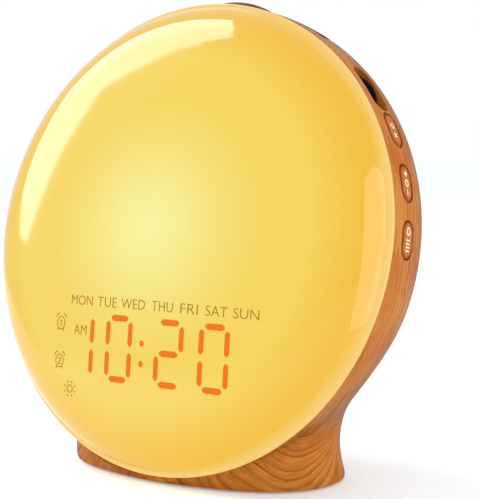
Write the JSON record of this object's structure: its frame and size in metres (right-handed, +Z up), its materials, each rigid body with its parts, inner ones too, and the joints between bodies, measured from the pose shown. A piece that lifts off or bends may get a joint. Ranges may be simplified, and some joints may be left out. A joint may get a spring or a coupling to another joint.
{
  "type": "sunrise alarm clock",
  "caption": "Round dome-lit wake-up light clock in a wood-grain housing on a flared foot, with a snooze bar on top, side push buttons, a charging socket and a rear speaker.",
  "frame": {"origin": "middle of the resting face, on the table", "axes": "+Z up; the lit face looks towards -Y and leans back 12 degrees; +X is the right side seen from the front"},
  "size_m": [0.1754, 0.0904, 0.1756],
  "materials": {
    "opal_diffuser": "satin opal, lit warm yellow",
    "ring": "translucent, satin",
    "wood_grain": "satin, printed wood grain",
    "wood_dark": "satin, dark printed wood grain",
    "wood_button": "satin, printed wood grain",
    "dark_plastic": "fine texture",
    "black_plastic": "satin",
    "white_plastic": "satin white reflector",
    "steel": "zinc plated",
    "painted_steel": "black paint",
    "rubber": "matt",
    "green_board": "solder mask",
    "white_board": "white solder mask",
    "led": "clear resin over phosphor",
    "orange_digit": "tinted light guide",
    "film": "printed diffusing film",
    "capacitor": "sleeved can",
    "connector": "nylon",
    "cell": "bright",
    "ribbon": "flat",
    "wire": "insulated wire",
    "cone": "coated paper",
    "magnet": "ferrite",
    "foam": "foam",
    "socket_shell": "nickel plated",
    "pin_metal": "nickel plated"
  },
  "bodies": {
    "clock": {"dome": "opal_diffuser", "rim_ring": "ring", "housing": "wood_grain", "base_plate": "dark_plastic", "base_screws": "steel", "ballast": "steel", "rubber_pad": "rubber", "reflector_tray": "white_plastic", "housing_screws": "steel", "led_board": "white_board", "leds": "led", "led_board_screws": "steel", "display_board": "green_board", "display_light_box": "white_plastic", "digit_light_guides": "orange_digit", "display_film": "film", "display_screws": "steel", "main_board": "green_board", "chips": "black_plastic", "capacitors": "capacitor", "board_connectors": "connector", "coin_cell_holder": "black_plastic", "coin_cell": "cell", "main_board_screws": "steel", "display_ribbon": "ribbon", "led_ribbon": "ribbon", "speaker_frame": "painted_steel", "speaker_cone": "cone", "speaker_magnet": "magnet", "speaker_gasket": "foam", "speaker_lead": "wire", "top_switch_board": "green_board", "top_switches": "black_plastic", "right_switch_board": "green_board", "right_switches": "black_plastic", "usb_socket": "socket_shell", "usb_tongue": "black_plastic", "left_switch_board": "green_board", "left_switches": "black_plastic", "switch_board_screws": "steel", "inlet_jack": "black_plastic", "inlet_pin": "pin_metal", "inlet_lead": "wire"},
    "snooze_bar": {"snooze_bar": "wood_dark"},
    "lower_right_button": {"lower_right_button": "wood_button"},
    "middle_right_button": {"middle_right_button": "wood_button"},
    "upper_right_button": {"upper_right_button": "wood_button"},
    "lower_left_button": {"lower_left_button": "wood_button"},
    "middle_left_button": {"middle_left_button": "wood_button"},
    "upper_left_button": {"upper_left_button": "wood_button"}
  },
  "joints": [
    {"name": "snooze_press", "type": "slide", "parent": "clock", "child": "snooze_bar", "axis": [0, -0.2079, -0.9781], "range_m": [0, 0.001], "stiffness_N_per_m": 900},
    {"name": "lower_right_press", "type": "slide", "parent": "clock", "child": "lower_right_button", "axis": [-0.999, -0.0091, -0.0427], "range_m": [0, 0.0007], "stiffness_N_per_m": 1200},
    {"name": "lower_left_press", "type": "slide", "parent": "clock", "child": "lower_left_button", "axis": [0.999, -0.0091, -0.0427], "range_m": [0, 0.0007], "stiffness_N_per_m": 1200},
    {"name": "middle_right_press", "type": "slide", "parent": "clock", "child": "middle_right_button", "axis": [-0.9636, -0.0556, -0.2614], "range_m": [0, 0.0007], "stiffness_N_per_m": 1200},
    {"name": "middle_left_press", "type": "slide", "parent": "clock", "child": "middle_left_button", "axis": [0.9636, -0.0556, -0.2614], "range_m": [0, 0.0007], "stiffness_N_per_m": 1200},
    {"name": "upper_right_press", "type": "slide", "parent": "clock", "child": "upper_right_button", "axis": [-0.8788, -0.0992, -0.4667], "range_m": [0, 0.0007], "stiffness_N_per_m": 1200},
    {"name": "upper_left_press", "type": "slide", "parent": "clock", "child": "upper_left_button", "axis": [0.8788, -0.0992, -0.4667], "range_m": [0, 0.0007], "stiffness_N_per_m": 1200}
  ]
}
